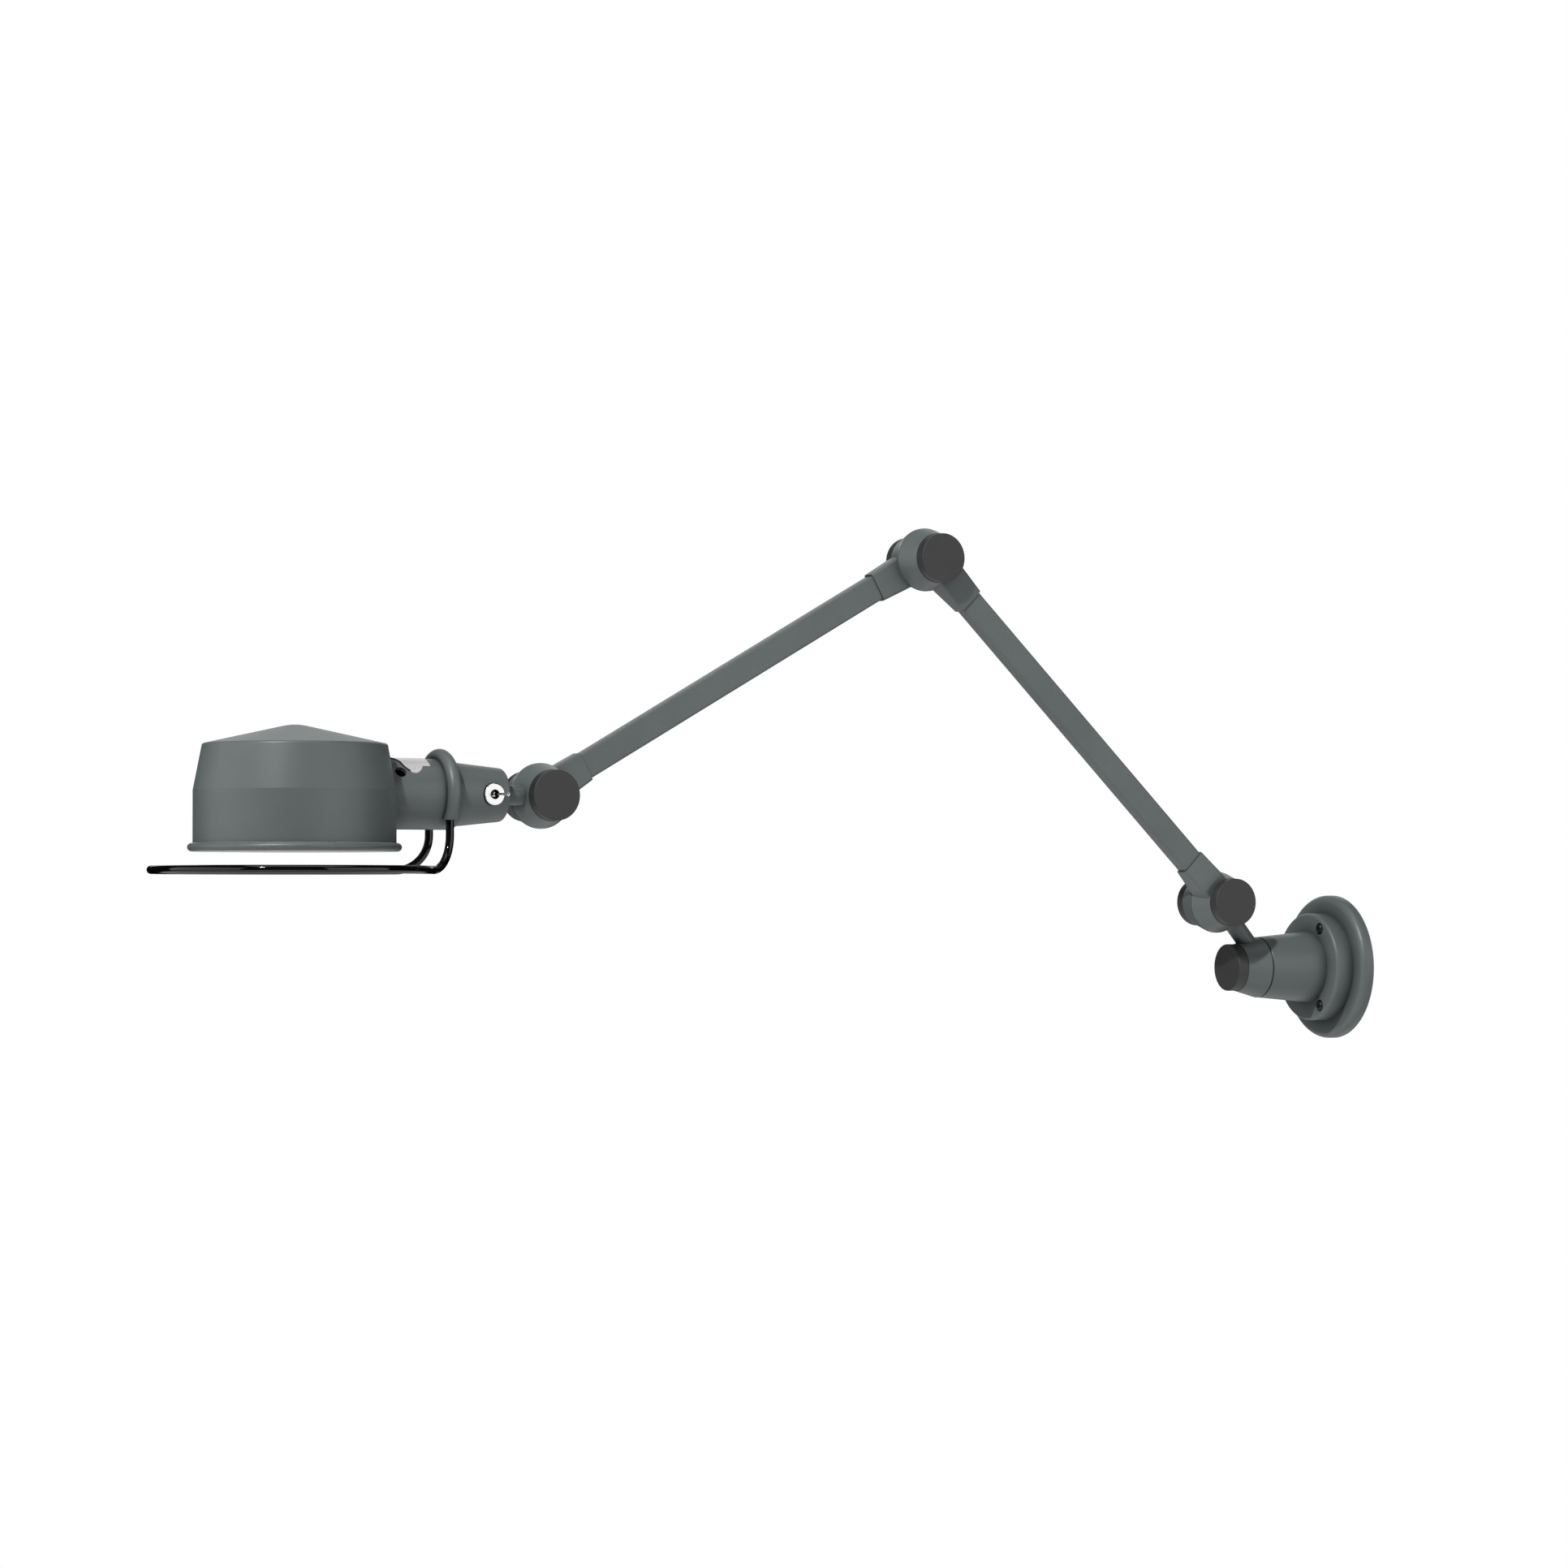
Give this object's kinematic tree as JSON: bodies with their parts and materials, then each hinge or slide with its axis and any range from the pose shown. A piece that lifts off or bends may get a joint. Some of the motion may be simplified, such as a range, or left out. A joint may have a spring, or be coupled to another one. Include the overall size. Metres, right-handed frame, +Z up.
{
  "type": "swing arm wall lamp",
  "caption": "Wall lamp with two swinging arms on friction knuckles, a turning drum shade with a conical roof, a bent wire guard ring and a toggle switch on the neck.",
  "frame": {"origin": "centre of the wall plate's back face, on the wall", "axes": "+X points into the wall, +Z is up, and the lamp reaches out along -X with its front knuckles towards -Y"},
  "size_m": [1.0821, 0.2202, 0.4246],
  "materials": {
    "grey_paint": "satin grey powder coat on steel",
    "grey_casting": "satin grey powder coat on cast aluminium",
    "shade_paint": "satin grey outside and white inside, on spun aluminium",
    "black_cap": "fine matt moulded",
    "steel": "zinc plated",
    "friction_fibre": "dark friction fibre",
    "black_wire": "black gloss lacquer on bent steel wire",
    "bright_lever": "polished chrome",
    "bright_nut": "bright nickel",
    "switch_plastic": "moulded",
    "block_plastic": "moulded",
    "holder_plastic": "black moulded",
    "bulb_cap": "plain",
    "bulb_glass": "opal",
    "plate_foil": "bare satin foil"
  },
  "bodies": {
    "wall_base": {"wall_plate": "grey_paint", "base_casting": "grey_casting", "terminal_block": "block_plastic", "swivel_bolt": "steel", "swivel_nut": "steel", "swivel_springs": "steel", "swivel_disc": "friction_fibre"},
    "swivel_link": {"swivel_cup": "grey_casting", "swivel_cap": "black_cap", "link_rod": "grey_paint", "shoulder_rear_cup": "grey_casting", "shoulder_rear_cap": "black_cap", "shoulder_bolt": "steel", "shoulder_nut": "steel", "shoulder_springs": "steel", "shoulder_disc": "friction_fibre"},
    "lower_arm": {"shoulder_front_cup": "grey_casting", "shoulder_front_cap": "black_cap", "lower_arm_tube": "grey_paint", "elbow_front_cup": "grey_casting", "elbow_front_cap": "black_cap"},
    "upper_arm": {"elbow_rear_cup": "grey_casting", "elbow_rear_cap": "black_cap", "elbow_bolt": "steel", "elbow_nut": "steel", "elbow_springs": "steel", "elbow_disc": "friction_fibre", "upper_arm_tube": "grey_paint", "wrist_rear_cup": "grey_casting", "wrist_rear_cap": "black_cap", "wrist_bolt": "steel", "wrist_nut": "steel", "wrist_springs": "steel", "wrist_disc": "friction_fibre"},
    "head_holder": {"wrist_front_cup": "grey_casting", "wrist_front_cap": "black_cap", "head_stem": "grey_paint", "switch_housing": "grey_casting", "switch_body": "switch_plastic", "switch_nut": "bright_nut", "lampholder": "holder_plastic", "bulb_base": "bulb_cap", "bulb_glass": "bulb_glass"},
    "shade_head": {"neck_sleeve": "grey_paint", "shade": "shade_paint", "rating_plate": "plate_foil", "guard_ring": "black_wire"},
    "switch_lever": {"switch_lever": "bright_lever"}
  },
  "joints": [
    {"name": "base_swivel", "type": "hinge", "parent": "wall_base", "child": "swivel_link", "pos_m": [-0.07825, 0, 0], "axis": [1, 0, 0], "range_deg": [-170, 170]},
    {"name": "shoulder", "type": "hinge", "parent": "swivel_link", "child": "lower_arm", "pos_m": [-0.12684, -0.011, 0.05571], "axis": [0, -1, 0], "range_deg": [-50, 110]},
    {"name": "elbow", "type": "hinge", "parent": "lower_arm", "child": "upper_arm", "pos_m": [-0.41092, -0.011, 0.33731], "axis": [0, -1, 0], "range_deg": [-130, 65]},
    {"name": "wrist", "type": "hinge", "parent": "upper_arm", "child": "head_holder", "pos_m": [-0.75865, -0.011, 0.13961], "axis": [0, 1, 0], "range_deg": [-150, 90]},
    {"name": "head_roll", "type": "hinge", "parent": "head_holder", "child": "shade_head", "pos_m": [-0.84155, -0.022, 0.13961], "axis": [1, 0, 0], "range_deg": [-170, 170]},
    {"name": "switch_toggle", "type": "hinge", "parent": "head_holder", "child": "switch_lever", "pos_m": [-0.81394, -0.04158, 0.13962], "axis": [0, 0, 1], "range_deg": [-23, 0]}
  ]
}
